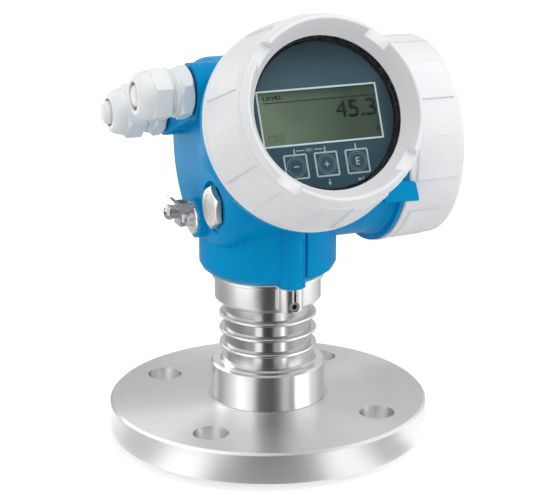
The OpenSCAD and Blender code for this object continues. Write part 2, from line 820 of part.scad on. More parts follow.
// flat washer between the glass and its ring
module glass_gasket() {
  color([0.08, 0.08, 0.08])
  at_display() translate([0, 0, glass_back - 1])
    ring(glass_d / 2 - 0.2, module_d / 2 + 1, 1);
}

module glass_ring() {
  key_w = 4;
  h = glass_ring_h - 1;
  color([0.6, 0.61, 0.62])
  at_display() translate([0, 0, glass_back - 1 - h])
  difference() {
    ring(glass_d / 2, module_d / 2 + 1, h);
    for (turn = [0, 90])
      rotate(turn) translate([-glass_d, -key_w / 2, -1]) cube([2 * glass_d, key_w, 2]);
  }
}

module connection_cover() {
  rear = connection_rear;
  end = connection_end;
  far_rim_r = connection_rim_d / 2;
  wall_r = far_rim_r - 0.9;
  wall_z = rear + rim_lip + 0.8;
  end_r = connection_end_d / 2;
  cavity_r = cover_in_r - 3;
  hub_r = 30;
  color([0.87, 0.88, 0.9])
  at_connection()
  difference() {
    union() {
      rotate_extrude() polygon(concat(
        [[0, end - 2.4], [hub_r - 2, end - 2.4], [hub_r, end - 0.4], [hub_r + 1, end]],
        arc([end_r - 3, end - 3], 3, 90, 4, 6),
        [[wall_r, wall_z], [far_rim_r, rear + rim_lip], [far_rim_r, rear + 0.6],
          [far_rim_r - 0.6, rear]],
        [for (i = [7:-1:0]) skirt(rear, cavity_r)[i]],
        [[cavity_r, end - connection_end_t - 4], [cavity_r - 4, end - connection_end_t],
          [0, end - connection_end_t]]));
      grip_pads(wall_r, wall_z + 1, end_r, end - 3.5, 0);
    }
    for (i = [0:notch_count - 1])
      rotate([0, 0, notch_turn + i * 360 / notch_count])
        translate([hub_r + 4, -notch_w / 2, end - 2.4]) cube([8, notch_w, 5]);
  }
}

module connection_cover_seal() {
  color([0.08, 0.08, 0.08]) at_connection() cover_seal(connection_rear);
}

// ---------- display and electronics ----------

module display_module() {
  color([0.12, 0.16, 0.19])
  at_display()
  difference() {
    union() {
      rotate_extrude() polygon([
        [0, module_back], [module_d / 2 - 3, module_back], [module_d / 2 - 3, module_back + 3],
        [module_d / 2, module_back + 4], [module_d / 2, display_face - 0.6],
        [module_d / 2 - 0.6, display_face], [0, display_face]]);
      translate([0, 0, case_front]) cylinder(d = module_d - 22, h = module_back - case_front + EPS);
    }
    translate([-lcd_w / 2 - lcd_left - CLEAR, lcd_up - lcd_h / 2 - CLEAR, display_face - lcd_t - CLEAR])
      cube([lcd_w + 2 * CLEAR, lcd_h + 2 * CLEAR, lcd_t + 1]);
  }
}

module lcd_panel() {
  color([0.42, 0.45, 0.35])
  at_display()
    translate([-lcd_w / 2 - lcd_left, lcd_up - lcd_h / 2, display_face - lcd_t - CLEAR])
      cube([lcd_w, lcd_h, lcd_t]);
}

module case_screws_at() {
  for (side = [-1, 1])
    translate([side * (electronics_d / 2 - 5), 0, 0]) children();
}

module electronics_case() {
  r = electronics_d / 2;
  foot = case_floor + 5;
  color([0.16, 0.17, 0.18])
  at_display()
  difference() {
    rotate_extrude() polygon([
      [0, case_floor], [r, case_floor], [r, foot], [r - 2, foot + 2], [r - 11, foot + 3],
      [r - 12, case_front - 1.5], [r - 13.5, case_front], [0, case_front]]);
    case_screws_at() translate([0, 0, case_floor - 1]) cylinder(d = 4.4, h = 30, $fn = 48);
    case_screws_at() translate([0, 0, foot - 1]) cylinder(d = 8.6, h = 30, $fn = 48);
    for (i = [0:5])
      rotate(15 + i * 60) translate([r - 13.5, -2, case_floor + 9]) cube([4, 4, 30]);
  }
}

module electronics_screws() {
  head_z = case_floor + 4;
  color([0.75, 0.75, 0.76])
  at_display() case_screws_at() {
    translate([0, 0, case_floor + EPS]) cylinder(d = 4, h = head_z - case_floor, $fn = 48);
    translate([0, 0, head_z])
    difference() {
      cylinder(d = 7, h = 2.8, $fn = 48);
      for (turn = [0, 90])
        rotate(turn) translate([-2.6, -0.5, 1.2]) cube([5.2, 1, 2]);
    }
  }
}

// ---------- terminals ----------

// local origin at the foot of the terminal block, +Z towards the connection cover, +Y up
module at_terminals() {
  translate([side_wall_x, 0, axis_z + terminal_up]) rotate([90, 0, 90]) children();
}

module terminal_places() {
  pitch = terminal_w / terminal_count;
  for (i = [0:terminal_count - 1])
    translate([(i - (terminal_count - 1) / 2) * pitch, 0, 0]) children();
}

module terminal_block() {
  pitch = terminal_w / terminal_count;
  color([0.1, 0.32, 0.16])
  at_terminals()
  difference() {
    translate([0, 0, terminal_t / 2]) cube([terminal_w, terminal_h, terminal_t], center = true);
    translate([0, terminal_h / 2, terminal_t]) rotate([0, 90, 0]) rotate(45)
      cube([5, 5, terminal_w + 2], center = true);
    terminal_places() {
      translate([0, 1, terminal_t - 6]) cylinder(d = 5.2, h = 10, $fn = 48);
      translate([0, 1, terminal_t - 10]) cylinder(d = 3 + 2 * CLEAR, h = 10, $fn = 48);
      translate([-wire_way / 2, -terminal_h / 2 - 1, 3.5]) cube([wire_way, 9, wire_way]);
    }
  }
}

module terminal_screws() {
  color([0.75, 0.75, 0.76])
  at_terminals()
  terminal_places()
  translate([0, 1, terminal_t - 9.5]) {
    cylinder(d = 3, h = 3.6, $fn = 48);
    translate([0, 0, 3.5])
    difference() {
      cylinder(d = 4.9, h = 3, $fn = 48);
      translate([-3, -0.4, 1.8]) cube([6, 0.8, 2]);
    }
  }
}

module wire_feedthrough() {
  color([0.12, 0.12, 0.13])
  at_connection() translate([-feed_up, 0, side_wall_x - partition_t])
    cylinder(d = feed_d, h = partition_t, $fn = 48);
}

module inner_ground_screw() {
  color([0.75, 0.75, 0.76])
  translate([side_wall_x, 0, axis_z - inner_ground_drop]) rotate([0, 90, 0]) {
    ring(5, 2.6, 1);
    translate([0, 0, 1])
    difference() {
      cylinder(d = 8, h = 3, $fn = 48);
      translate([-5, -0.6, 1.6]) cube([10, 1.2, 2]);
    }
    translate([0, 0, -2.6]) cylinder(d = 5, h = 4, $fn = 48);
  }
}

// ---------- cable glands ----------

module gland_washer(turn) {
  color([0.1, 0.1, 0.1])
  at_gland(turn) ring(gland_flats / 2 - 0.6, gland_thread_d / 2 + CLEAR, washer_t);
}

module gland_body(turn, hex_turn) {
  neck_r = gland_nut_thread_d / 2;
  shank_r = gland_thread_d / 2;
  neck_top = nut_start + nut_hex_len - 3;
  color([0.88, 0.89, 0.88])
  at_gland(turn)
  difference() {
    union() {
      translate([0, 0, -gland_bore_len]) cylinder(r1 = shank_r - 1, r2 = shank_r, h = 1);
      translate([0, 0, 1 - gland_bore_len]) cylinder(r = shank_r, h = gland_bore_len + washer_t);
      translate([0, 0, washer_t]) rotate(hex_turn)
        turned_hexagon(gland_flats, gland_hex_t, 0.8, true);
      translate([0, 0, washer_t]) cylinder(r = neck_r, h = neck_top - washer_t);
      translate([0, 0, washer_t]) cylinder(r = gland_flats / 2 - 0.1, h = gland_hex_t + 1.6);
      translate([0, 0, washer_t + gland_hex_t + 1.6 - EPS])
        cylinder(r1 = gland_flats / 2 - 0.1, r2 = neck_r, h = 0.8);
    }
    translate([0, 0, -gland_bore_len - 1]) cylinder(r = blank_d / 2 + 0.3, h = 60);
    translate([0, 0, washer_t + 3]) cylinder(r = gland_seal_r + CLEAR, h = 60);
  }
}

// rubber sleeve that the nut's dome presses on the blanking plug
module gland_seal(turn) {
  in_r = blank_d / 2 + CLEAR;
  foot = washer_t + 3 + CLEAR;
  color([0.13, 0.13, 0.14])
  at_gland(turn)
  rotate_extrude() polygon([
    [in_r, foot], [gland_seal_r, foot], [gland_seal_r, nut_shoulder + 0.6],
    [in_r + 0.9, nut_end - 1.4], [in_r, nut_end - 1.4]]);
}

module gland_nut(turn, hex_turn) {
  neck_r = gland_nut_thread_d / 2 + CLEAR;
  mouth_r = blank_d / 2 + 1.1;
  corner_r = gland_flats / cos(30) / 2 + 0.5;
  dome_r = gland_flats / 2 - 0.2;
  tip_r = mouth_r + 1;
  color([0.9, 0.91, 0.9])
  at_gland(turn)
  difference() {
    intersection() {
      translate([0, 0, nut_start]) rotate(hex_turn) hexagon(gland_flats, nut_end - nut_start);
      rotate_extrude() polygon(concat(
        [[0, nut_start], [corner_r, nut_start], [corner_r, nut_shoulder - 1.6]],
        [for (i = [0:8]) [tip_r + (dome_r - tip_r) * cos(90 * i / 8),
          nut_shoulder + nut_dome_len * sin(90 * i / 8)]],
        [[0, nut_end]]));
    }
    rotate_extrude() polygon([
      [0, nut_start - 1], [neck_r, nut_start - 1], [neck_r, nut_start + nut_hex_len - 2.5],
      [gland_seal_r + LOOSE, nut_shoulder + 0.6], [mouth_r, nut_end - 1.6],
      [mouth_r, nut_end + 1], [0, nut_end + 1]]);
  }
}

// round stopper pushed through the seal in place of a cable
module gland_blank(turn, stand_out) {
  r = blank_d / 2;
  tip = nut_end + stand_out;
  color([0.86, 0.88, 0.87])
  at_gland(turn)
  rotate_extrude() polygon(concat([[0, washer_t + 5], [r - 0.8, washer_t + 5], [r, washer_t + 5.8]],
    arc([r - 3, tip - 3], 3, 0, 78, 6), [[0, tip]]));
}

module gland_a_washer() { gland_washer(gland_a_turn); }
module gland_a_body() { gland_body(gland_a_turn, hex_a_turn); }
module gland_a_seal() { gland_seal(gland_a_turn); }
module gland_a_nut() { gland_nut(gland_a_turn, nut_a_turn); }
module gland_a_blank() { gland_blank(gland_a_turn, blank_a_out); }
module gland_b_washer() { gland_washer(gland_b_turn); }
module gland_b_body() { gland_body(gland_b_turn, hex_b_turn); }
module gland_b_seal() { gland_seal(gland_b_turn); }
module gland_b_nut() { gland_nut(gland_b_turn, nut_b_turn); }
module gland_b_blank() { gland_blank(gland_b_turn, blank_b_out); }

// ---------- entry plug ----------

module entry_plug() {
  shank_r = entry_thread_d / 2;
  color([0.8, 0.77, 0.7])
  at_entry() {
    translate([0, 0, -10]) cylinder(r = shank_r, h = 10 + washer_t + EPS);
    translate([0, 0, washer_t])
    difference() {
      turned_hexagon(entry_flats, entry_head_t, 0.7);
      translate([0, 0, entry_head_t - 0.4])
        ring(entry_flats / 2 - 3, entry_flats / 2 - 3.6, 2);
    }
  }
}

module entry_washer() {
  color([0.08, 0.08, 0.08])
  at_entry() ring(entry_flats / 2 - 0.2, entry_thread_d / 2 + CLEAR, washer_t);
}

// ---------- ground terminal ----------

// disc with a centre post, on a thick stud that takes the clamping screw off its centre
module ground_base() {
  r = ground_base_d / 2;
  color([0.78, 0.78, 0.78])
  at_ground()
  difference() {
    union() {
      translate([0, 0, 1 - ground_stud_len]) cylinder(r = ground_stud_r, h = ground_stud_len);
      rotate_extrude() polygon([[0, 0], [r, 0], [r, ground_base_t - 0.5],
        [r - 0.5, ground_base_t], [4, ground_base_t], [4, ground_base_t + 2.6],
        [3.6, ground_base_t + 3], [0, ground_base_t + 3]]);
    }
    translate([ground_screw_up, 0, -5.4])
      cylinder(d = ground_screw_d + 2 * CLEAR, h = 20, $fn = 48);
  }
}

// pressed saddle over the lead, with one ear turned up
module ground_clamp() {
  w = 9;
  low_end = -7;
  up_end = 4.6;
  low = ground_base_t + SEAT_GAP;
  color([0.74, 0.74, 0.74])
  at_ground() translate([ground_screw_up, 0, 0])
  difference() {
    union() {
      translate([low_end, -w / 2, clamp_z]) cube([up_end - low_end, w, clamp_t]);
      for (side = [0, 1]) {
        translate([1, -w / 2 + side * (w - clamp_t), low])
          cube([up_end - 1, clamp_t, clamp_z - low + clamp_t]);
        translate([low_end, -w / 2 + side * (w - clamp_t), clamp_z - 1.8])
          cube([2, clamp_t, 1.8 + clamp_t]);
      }
      translate([up_end - 0.6, -w / 2, clamp_z]) rotate([0, -47, 0]) cube([7.4, w, clamp_t]);
    }
    translate([0, 0, -1]) cylinder(d = ground_screw_d + 0.4, h = 40, $fn = 48);
  }
}

module ground_washer() {
  color([0.7, 0.7, 0.7])
  at_ground() translate([ground_screw_up, 0, clamp_z + clamp_t])
    ring(ground_screw_d / 2 + 1.2, ground_screw_d / 2 + 0.2, 0.8);
}

// cross-slot screw with a grooved shoulder under its head
module ground_screw() {
  foot = clamp_z + clamp_t + 0.8;
  head_z = foot + 2.6;
  head_r = 3.9;
  head_h = 3.4;
  color([0.6, 0.58, 0.56])
  at_ground() translate([ground_screw_up, 0, 0])
  difference() {
    union() {
      translate([0, 0, -5]) cylinder(d = ground_screw_d, h = foot + 5 + EPS, $fn = 48);
      rotate_extrude() polygon(concat(
        [[0, foot], [3.5, foot], [3.5, foot + 0.7], [3.1, foot + 0.9], [3.5, foot + 1.1],
          [3.5, foot + 1.7], [3.1, foot + 1.9], [3.5, foot + 2.1], [3.5, head_z],
          [head_r, head_z + 0.4]],
        [for (i = [0:6]) [head_r * cos(78 * i / 6),
          head_z + 1 + (head_h - 1) * sin(78 * i / 6) / sin(78)]],
        [[0, head_z + head_h]]));
    }
    for (turn = [0, 90])
      rotate(turn) translate([-2.4, -0.5, head_z + head_h - 1.8]) cube([4.8, 1, 3]);
  }
}

// ---------- build ----------

process_flange();
antenna_window();
window_seal();
finned_neck();
wave_tube();
feed_coupler();
neck_seal();
retaining_ring();
turning_collar();
collar_screw();
housing();
display_cover();
display_cover_seal();
display_glass();
glass_gasket();
glass_ring();
display_module();
lcd_panel();
electronics_case();
electronics_screws();
connection_cover();
connection_cover_seal();
terminal_block();
terminal_screws();
wire_feedthrough();
inner_ground_screw();
gland_a_washer();
gland_a_body();
gland_a_seal();
gland_a_nut();
gland_a_blank();
gland_b_washer();
gland_b_body();
gland_b_seal();
gland_b_nut();
gland_b_blank();
entry_plug();
entry_washer();
ground_base();
ground_clamp();
ground_washer();
ground_screw();
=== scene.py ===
"""Finishes, display printing, studio and camera of the radar level transmitter."""

import json
import math

import bmesh
import bpy
from mathutils import Matrix, Vector


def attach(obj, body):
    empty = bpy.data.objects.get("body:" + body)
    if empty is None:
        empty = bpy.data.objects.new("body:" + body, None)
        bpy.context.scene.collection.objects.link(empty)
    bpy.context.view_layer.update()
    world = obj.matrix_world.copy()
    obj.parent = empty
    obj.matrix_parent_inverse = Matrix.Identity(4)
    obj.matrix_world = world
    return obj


MM = 0.001
UPRIGHT = ((0, 0, 0), (0, 0, 1))  # a point on the object's own axis, and its direction

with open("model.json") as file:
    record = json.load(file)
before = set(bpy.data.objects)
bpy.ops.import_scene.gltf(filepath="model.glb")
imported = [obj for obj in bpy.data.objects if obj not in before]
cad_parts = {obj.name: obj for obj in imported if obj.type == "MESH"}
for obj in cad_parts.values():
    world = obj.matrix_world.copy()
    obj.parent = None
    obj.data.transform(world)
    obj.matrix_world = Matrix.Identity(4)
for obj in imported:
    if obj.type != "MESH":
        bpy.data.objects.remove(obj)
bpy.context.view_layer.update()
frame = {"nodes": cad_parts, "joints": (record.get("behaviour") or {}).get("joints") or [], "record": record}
joints = {joint["name"]: joint for joint in frame["joints"]}


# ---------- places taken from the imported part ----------

def axis_frame(origin, out, up):
    """Matrix of a local frame: X across, Y up, Z out, at origin."""
    out, up = Vector(out).normalized(), Vector(up)
    up = (up - up.dot(out) * out).normalized()
    across = up.cross(out)
    return Matrix.Translation(Vector(origin)) @ Matrix((across, up, out)).transposed().to_4x4()


def span(node, where, axis):
    """Lowest and highest reach of a CAD node along one axis of a local frame."""
    back = where.inverted()
    values = [(back @ v.co)[axis] for v in frame["nodes"][node].data.vertices]
    return min(values), max(values)


DISPLAY = axis_frame(joints["display_turn"]["pos_m"], joints["display_turn"]["axis"], (0, 0, 1))
GLANDS = {}
for side in ("a", "b"):
    turn = joints[f"gland_{side}_turn"]
    GLANDS[side] = axis_frame((0, turn["pos_m"][1], turn["pos_m"][2]), turn["axis"], (0, 0, 1))


# ---------- finishes ----------

class Recipe:
    """Nodes of one finish, joined up as they are made."""

    def __init__(self, name):
        self.material = bpy.data.materials.new(name)
        self.material.use_nodes = True
        self.tree = self.material.node_tree
        self.shader = self.tree.nodes["Principled BSDF"]
        self.place = self.node("ShaderNodeTexCoord").outputs["Object"]

    def node(self, kind, **settings):
        made = self.tree.nodes.new(kind)
        for key, value in settings.items():
            setattr(made, key, value)
        return made

    def feed(self, socket, value):
        if isinstance(value, bpy.types.NodeSocket):
            self.tree.links.new(value, socket)
        else:
            socket.default_value = value

    def sum(self, operation, first, second=0.0, third=0.0):
        """The result of a Math node."""
        made = self.node("ShaderNodeMath", operation=operation)
        for socket, value in zip(made.inputs, (first, second, third)):
            self.feed(socket, value)
        return made.outputs[0]

    def parts(self, vector):
        made = self.node("ShaderNodeSeparateXYZ")
        self.feed(made.inputs[0], vector)
        return made.outputs

    def join(self, x, y, z):
        made = self.node("ShaderNodeCombineXYZ")
        for socket, value in zip(made.inputs, (x, y, z)):
            self.feed(socket, value)
        return made.outputs[0]

    def turned(self, centre, along, scale=(1, 1, 1)):
        """Object coordinates in a frame whose Z lies along an axis of the object."""
        upright = abs(along[2]) > 0.9
        where = axis_frame(centre, along, (0, 1, 0) if upright else (0.3, 0.2, 1))
        shift = self.node("ShaderNodeVectorMath", operation="SUBTRACT")
        self.feed(shift.inputs[0], self.place)
        shift.inputs[1].default_value = centre
        rotate = self.node("ShaderNodeMapping", vector_type="POINT")
        self.feed(rotate.inputs["Vector"], shift.outputs[0])
        rotate.inputs["Rotation"].default_value = where.to_3x3().inverted().to_euler()
        rotate.inputs["Scale"].default_value = scale
        return rotate.outputs[0]

    def round_place(self, centre, along):
        """Radius, angle and height about an axis."""
        x, y, z = self.parts(self.turned(centre, along))
        radius = self.sum("SQRT", self.sum("ADD", self.sum("MULTIPLY", x, x),
                                           self.sum("MULTIPLY", y, y)))
        return radius, self.sum("ARCTAN2", y, x), z

    def noise(self, scale, detail=2.0, vector=None, rough=0.5):
        made = self.node("ShaderNodeTexNoise")
        self.feed(made.inputs["Vector"], vector or self.place)
        made.inputs["Scale"].default_value = scale
        made.inputs["Detail"].default_value = detail
        made.inputs["Roughness"].default_value = rough
        return made.outputs["Fac"]

    def range(self, value, low, high, from_low=0.0, from_high=1.0):
        """A value between two limits carried over to a range from low to high."""
        made = self.node("ShaderNodeMapRange")
        for socket, number in zip(made.inputs, (value, from_low, from_high, low, high)):
            self.feed(socket, number)
        return made.outputs[0]

    def mix(self, factor, first, second):
        """One colour going over into another: inputs 6 and 7 and output 2 are the colour ones."""
        made = self.node("ShaderNodeMix", data_type="RGBA")
        self.feed(made.inputs[0], factor)
        for socket, value in ((made.inputs[6], first), (made.inputs[7], second)):
            self.feed(socket, (*value, 1) if isinstance(value, tuple) else value)
        return made.outputs[2]

    def soft_edges(self, radius):
        made = self.node("ShaderNodeBevel", samples=4)
        made.inputs["Radius"].default_value = radius
        return made.outputs[0]

    def relief(self, height, depth, strength=1.0, normal=None):
        made = self.node("ShaderNodeBump")
        made.inputs["Strength"].default_value = strength
        made.inputs["Distance"].default_value = depth
        self.feed(made.inputs["Height"], height)
        if normal:
            self.feed(made.inputs["Normal"], normal)
        return made.outputs[0]

    def set(self, **values):
        """Values or links of the shader, by the names of its sockets."""
        for key, value in values.items():
            self.feed(self.shader.inputs[key.replace("_", " ")], value)
        return self.material


def shade(colour, factor):
    return tuple(min(1.0, c * factor) for c in colour)


def powder_coat(name, colour, tint, gloss, peel, edge, glint):
    """Sprayed and baked paint: a fine orange peel, a faint cloudiness and softened edges."""
    r = Recipe(name)
    cloud = r.noise(38, 3)
    base = r.mix(r.range(cloud, 0, 1, 0.35, 0.65), shade(colour, 0.96), tint)
    return r.set(
        Base_Color=base, Specular_IOR_Level=glint,
        Roughness=r.range(r.noise(420, 2), gloss - 0.05, gloss + 0.07, 0.3, 0.7),
        Normal=r.relief(r.noise(750, 2), peel, 0.5, r.soft_edges(edge)))


def turned_steel(name, zones, lines, depth):
    """Lathe-turned steel: fine rings about the upright axis, with a glint drawn out across them.

    Each zone is (radius from which it holds, roughness, how far its glint is drawn out, painted shade as a
    factor on its colour).
    """
    r = Recipe(name)
    radius, angle, height = r.round_place(*UPRIGHT)
    rings = r.noise(lines, 3, r.join(radius, r.sum("MULTIPLY", angle, 0.0006), height), 0.7)
    coarse = r.noise(lines * 0.11, 2, r.join(radius, r.sum("MULTIPLY", angle, 0.004), height))
    stain = r.noise(26, 4)
    _, rough, drawn, painted_shade = zones[0]
    colour = shade(STEEL, painted_shade)
    for start, next_rough, next_drawn, painted_shade in zones[1:]:
        beyond = r.range(radius, 0, 1, start - 0.2 * MM, start + 0.2 * MM)
        rough = r.sum("MULTIPLY_ADD", beyond, r.sum("SUBTRACT", next_rough, rough), rough)
        drawn = r.sum("MULTIPLY_ADD", beyond, r.sum("SUBTRACT", next_drawn, drawn), drawn)
        colour = r.mix(beyond, colour, shade(STEEL, painted_shade))
    base = r.mix(r.range(coarse, 0, 0.05, 0.35, 0.65), colour, (0.5, 0.5, 0.5))
    base = r.mix(r.range(stain, 0.0, 0.2, 0.45, 0.75), base, (0.55, 0.55, 0.54))
    grain = r.range(rings, -0.03, 0.05, 0.3, 0.7)
    tangent = r.node("ShaderNodeTangent", direction_type="RADIAL", axis="Z")
    return r.set(Base_Color=base, Metallic=1.0, Anisotropic=drawn, Anisotropic_Rotation=0.25,
                 Roughness=r.sum("ADD", grain, rough), Tangent=tangent.outputs[0],
                 Normal=r.relief(rings, depth, 0.6, r.soft_edges(0.3 * MM)))


def plain_metal(name, colour, rough, scratch=1800):
    """Small bright or blackened metal parts, with fine scratches and handling marks."""
    r = Recipe(name)
    slanting, drawn_out = (0.3, -0.5, 0.81), (0.15, 1, 1)
    marks = r.noise(scratch, 4, r.turned((0, 0, 0), slanting, drawn_out), 0.6)
    cloud = r.noise(160, 3)
    return r.set(Base_Color=r.mix(r.range(cloud, 0, 1, 0.3, 0.7), shade(colour, 0.88), colour),
                 Metallic=1.0, Roughness=r.range(marks, rough - 0.06, rough + 0.1, 0.3, 0.7),
                 Normal=r.relief(marks, 0.004 * MM, 0.35, r.soft_edges(0.2 * MM)))


def moulded(name, colour, rough, grain, depth, edge=0.3 * MM, glow=0.0):
    """Injection-moulded plastic with a spark-eroded grain. Its glow is the light that sinks in."""
    r = Recipe(name)
    cloud = r.noise(55, 3)
    speck = r.noise(grain, 2, rough=0.6)
    r.set(Base_Color=r.mix(r.range(cloud, 0, 1, 0.35, 0.65), shade(colour, 0.95), colour),
          Roughness=r.range(speck, rough - 0.05, rough + 0.08, 0.3, 0.7),
          Normal=r.relief(speck, depth, 0.4, r.soft_edges(edge)))
    if glow:
        r.set(Subsurface_Weight=glow, Subsurface_Radius=(0.9, 0.95, 1.0),
              Subsurface_Scale=1.2 * MM)
    return r.material


def rubber(name, colour):
    """Black sealing rubber with a little dust on it."""
    r = Recipe(name)
    dust = r.noise(140, 5)
    return r.set(Base_Color=r.mix(r.range(dust, 0, 0.6, 0.5, 0.8), colour, shade(colour, 2.2)),
                 Roughness=r.range(dust, 0.55, 0.75, 0.3, 0.7),
                 Normal=r.relief(r.noise(1500, 2), 0.03 * MM, 0.4))


def clear_pane(name):
    """Window glass, faintly smeared. Its index is low, so that the display isn't hazed over."""
    r = Recipe(name)
    smear = r.range(r.noise(45, 4), 0, 1, 0.4, 0.7)
    return r.set(Base_Color=r.mix(smear, (0.93, 0.97, 0.98), (0.95, 0.98, 0.985)),
                 Transmission_Weight=1.0, IOR=1.2, Roughness=0.0)


def display_place(r):
    """Place on the display's face: across, up and out."""
    shift = r.node("ShaderNodeVectorMath", operation="SUBTRACT")
    r.feed(shift.inputs[0], r.place)
    shift.inputs[1].default_value = DISPLAY.translation
    places = []
    for axis in DISPLAY.to_3x3().transposed():
        reach = r.node("ShaderNodeVectorMath", operation="DOT_PRODUCT")
        r.feed(reach.inputs[0], shift.outputs[0])
        reach.inputs[1].default_value = axis
        places.append(reach.outputs["Value"])
    return places


def display_glass_face(name):
    """Olive liquid-crystal glass, with painted light from its left and painted shade under its top and right
    edges.
    """
    r = Recipe(name)
    x, y, _ = display_place(r)
    cloud = r.noise(30, 2)
    # Painted light: paler towards the left, darker towards the right.
    painted_light_tone = r.mix(r.range(x, 0, 1, -30 * MM, 12 * MM), LCD_PAINTED_LIT, LCD_PAINTED_DIM)
    painted_light_tone = r.mix(r.range(cloud, 0, 0.25, 0.4, 0.65), painted_light_tone, shade(LCD_PAINTED_DIM, 0.8))
    # Painted shade under the top and right edges.
    edge = r.sum("MAXIMUM", r.range(y, 0, 0.8, 8.5 * MM, 13.5 * MM),
                 r.range(x, 0, 0.8, 24.5 * MM, 30 * MM))
    painted_light_tone = r.mix(edge, painted_light_tone, shade(LCD_PAINTED_DIM, 0.3))
    waves = 2 * math.pi / DOT_PITCH
    grid = r.sum("MAXIMUM", r.sum("SINE", r.sum("MULTIPLY", x, waves)),
                 r.sum("SINE", r.sum("MULTIPLY", y, waves)))
    painted_light_tone = r.mix(r.range(grid, 0.0, 0.12, 0.7, 1.0), painted_light_tone, shade(LCD_PAINTED_DIM, 0.7))
    last = (OUTLINE_RIGHT - 0.4) * MM
    painted_light_tone = r.mix(r.range(x, 0, 1, last, last + 0.1 * MM), painted_light_tone, SLATE)
    return r.set(Base_Color=painted_light_tone, Roughness=r.range(cloud, 0.2, 0.3), Specular_IOR_Level=0.2)


def display_front(name):
    """Slate front of the display: painted shade darkens its top and right, and a painted change of light
    makes it greener towards its foot.
    """
    r = Recipe(name)
    x, y, _ = display_place(r)
    cloud = r.noise(34, 3)
    # Painted shade at the top, going over into painted light towards the foot.
    base = r.mix(r.range(y, 0, 1, 33 * MM, 17 * MM), SLATE_PAINTED_SHADE, SLATE)
    base = r.mix(r.range(y, 0, 1, 12 * MM, -30 * MM), base, SLATE_PALE)
    # Painted shade at the right.
    base = r.mix(r.range(x, 0, 0.6, 27 * MM, 34 * MM), base, SLATE_PAINTED_SHADE)
    base = r.mix(r.range(cloud, 0, 0.25, 0.4, 0.65), base, SLATE_PAINTED_SHADE)
    return r.set(Base_Color=base, Roughness=r.range(cloud, 0.4, 0.5, 0.3, 0.7),
                 Specular_IOR_Level=0.2)


# Radii from which the steel has another finish: the flange's rim, the fins' rims and the boss.
RIM_START = 81.5 * MM
FIN_START = 24.6 * MM
BOSS_START = 26.2 * MM

BLUE = (0.0, 0.295, 0.62)
PALE = (0.81, 0.82, 0.84)
STEEL = (0.84, 0.84, 0.835)
# Painted light and painted shade of the liquid-crystal glass.
LCD_PAINTED_LIT = (0.15, 0.19, 0.125)
LCD_PAINTED_DIM = (0.032, 0.054, 0.032)
DOT_PITCH = 0.48 * MM
OUTLINE_RIGHT = 28.3  # right side of the line round the window, in millimetres
# Slates of the display's front; the darkest is its painted shade.
SLATE_PAINTED_SHADE = (0.004, 0.02, 0.03)
SLATE = (0.036, 0.082, 0.104)
SLATE_PALE = (0.007, 0.046, 0.065)

FINISHES = {
    "flange_steel": turned_steel(
        "flange_steel", ((0, 0.34, 0.95, 1), (RIM_START, 0.3, 0.1, 1)), 2400, 0.02 * MM),
    # The neck's core between the fins has painted shade: its steel colour is taken down to 0.8.
    "neck_steel": turned_steel(
        "neck_steel", ((0, 0.12, 0.3, 0.8), (FIN_START, 0.14, 0.3, 1), (BOSS_START, 0.12, 0.5, 1)),
        3000, 0.01 * MM),
    "collar_steel": turned_steel("collar_steel", ((0, 0.17, 0.5, 1),), 2600, 0.01 * MM),
    "window_plastic": moulded(
        "window_plastic", (0.82, 0.82, 0.78), 0.45, 1500, 0.02 * MM, glow=0.1),
    "seal_rubber": rubber("seal_rubber", (0.012, 0.012, 0.013)),
    "tube_brass": plain_metal("tube_brass", (0.80, 0.58, 0.25), 0.3),
    "ring_steel": plain_metal("ring_steel", (0.12, 0.12, 0.13), 0.4),
    "screw_dark": plain_metal("screw_dark", (0.28, 0.28, 0.29), 0.4),
    "housing_paint": powder_coat(
        "housing_paint", BLUE, (0.0, 0.305, 0.63), 0.26, 0.006 * MM, 0.6 * MM, 0.04),
    "cover_paint": powder_coat(
        "cover_paint", PALE, (0.83, 0.835, 0.85), 0.36, 0.008 * MM, 0.5 * MM, 0.4),
    "clear_glass": clear_pane("clear_glass"),
    "ring_aluminium": plain_metal("ring_aluminium", (0.5, 0.51, 0.52), 0.35),
    "module_plastic": display_front("module_plastic"),
    "lcd_green": display_glass_face("lcd_green"),
    "case_plastic": moulded("case_plastic", (0.02, 0.022, 0.025), 0.5, 1500, 0.04 * MM),
    "screw_zinc": plain_metal("screw_zinc", (0.7, 0.7, 0.72), 0.3),
    "terminal_plastic": moulded(
        "terminal_plastic", (0.01, 0.12, 0.035), 0.42, 1500, 0.03 * MM),
    "gland_plastic": moulded(
        "gland_plastic", (0.80, 0.82, 0.82), 0.36, 1700, 0.02 * MM, 0.4 * MM, 0.12),
    "nut_plastic": moulded(
        "nut_plastic", (0.83, 0.845, 0.845), 0.34, 1700, 0.02 * MM, 0.5 * MM, 0.12),
    "plug_plastic": moulded(
        "plug_plastic", (0.80, 0.815, 0.80), 0.4, 1700, 0.02 * MM, 0.3 * MM, 0.12),
    "plug_nickel": plain_metal("plug_nickel", (0.94, 0.90, 0.85), 0.4, 900),
    "terminal_steel": plain_metal("terminal_steel", (0.9, 0.89, 0.88), 0.3, 1400),
    "sheet_steel": plain_metal("sheet_steel", (0.62, 0.62, 0.63), 0.3, 1600),
    "screw_steel": plain_metal("screw_steel", (0.58, 0.56, 0.54), 0.28, 1900),
}
node_slots = {entry["node"]: entry["material_slot"] for entry in frame["record"]["subparts"]}
for node, part in frame["nodes"].items():
    part.data.materials.clear()
    part.data.materials.append(FINISHES[node_slots[node]])


# ---------- making a piece ----------

def made_object(name, mesh, material):
    data = bpy.data.meshes.new(name)
    mesh.to_mesh(data)
    mesh.free()
    data.materials.append(material)
    made = bpy.data.objects.new(name, data)
    bpy.context.scene.collection.objects.link(made)
    return made


